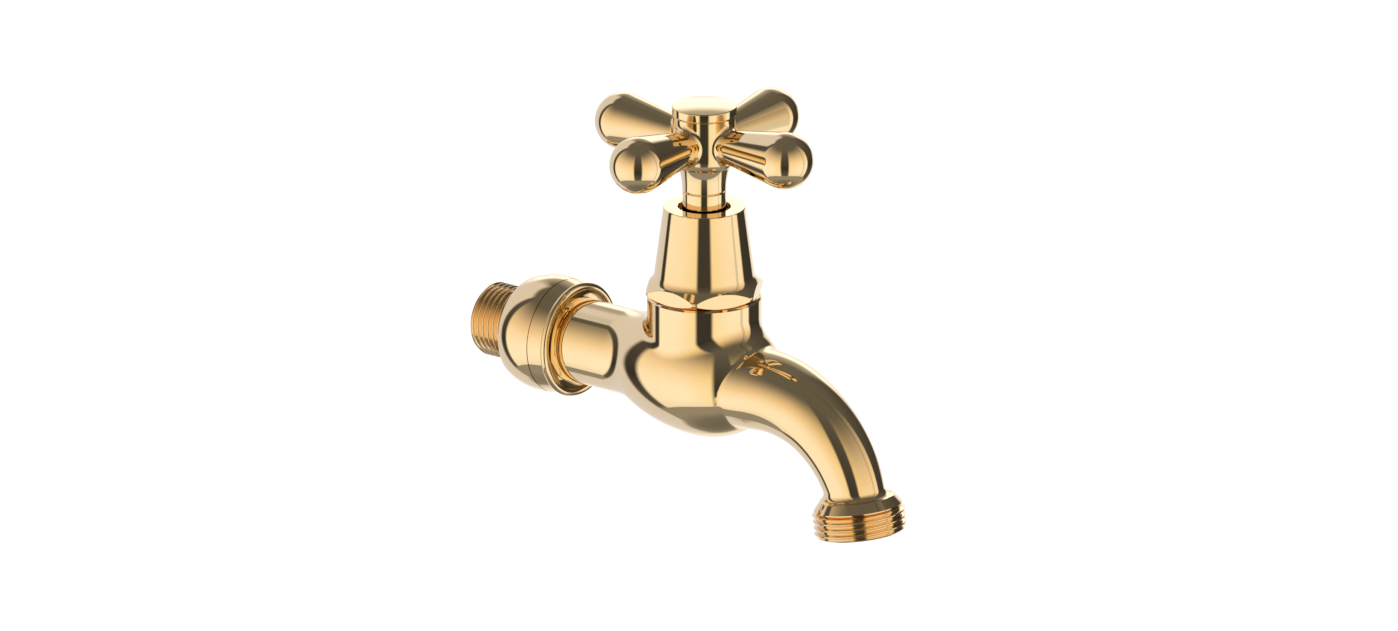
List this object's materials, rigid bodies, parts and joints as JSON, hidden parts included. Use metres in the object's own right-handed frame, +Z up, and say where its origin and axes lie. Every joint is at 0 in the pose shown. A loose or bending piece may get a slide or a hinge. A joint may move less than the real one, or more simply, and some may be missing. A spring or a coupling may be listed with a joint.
{
  "type": "wall tap",
  "caption": "Wall-mounted bib tap with a cross handle, a tapered bonnet, a round wall flange and a down-curved spout ending in a male hose thread, in polished gold-coloured brass.",
  "frame": {"origin": "where the inlet axis meets the wall face, at the back rim of the wall flange", "axes": "+Z up along the valve axis, -Y out from the wall towards the spout, +X to the right of someone facing the wall"},
  "size_m": [0.0756, 0.1486, 0.1179],
  "materials": {
    "polished_gold": "mirror-polished warm gold plating",
    "raw_brass": "turned brass",
    "steel": "plain stainless steel",
    "black_rubber": "moulded rubber",
    "fibre": "red vulcanised fibre",
    "packing": "white sealing packing"
  },
  "bodies": {
    "tap": {"tap_body": "polished_gold", "valve_seat": "steel", "flange_cup": "polished_gold", "flange_ring": "polished_gold", "headgear_body": "raw_brass", "headgear_washer": "fibre", "gland_packing": "packing", "gland_washer": "raw_brass", "gland_nut": "raw_brass", "bonnet_cover": "polished_gold"},
    "jumper": {"jumper_valve": "raw_brass", "jumper_washer": "black_rubber", "jumper_nut": "raw_brass"},
    "handle": {"spindle": "raw_brass", "spindle_o_ring": "black_rubber", "spindle_clip": "steel", "stem_sleeve": "polished_gold", "handle_skirt": "polished_gold", "cross_handle": "polished_gold", "handle_washer": "steel", "handle_screw": "steel", "handle_cap": "polished_gold"}
  },
  "joints": [
    {"name": "spindle_rise", "type": "slide", "parent": "tap", "child": "jumper", "axis": [0, 0, 1], "range_m": [0, 0.0045]},
    {"name": "handle_turn", "type": "hinge", "parent": "jumper", "child": "handle", "pos_m": [0, -0.0641, 0.0685], "axis": [0, 0, 1], "range_deg": [0, 540]}
  ],
  "couplings": [
    {"joint": "spindle_rise", "follows": "handle_turn", "m_per_rad": 0.00047746}
  ]
}
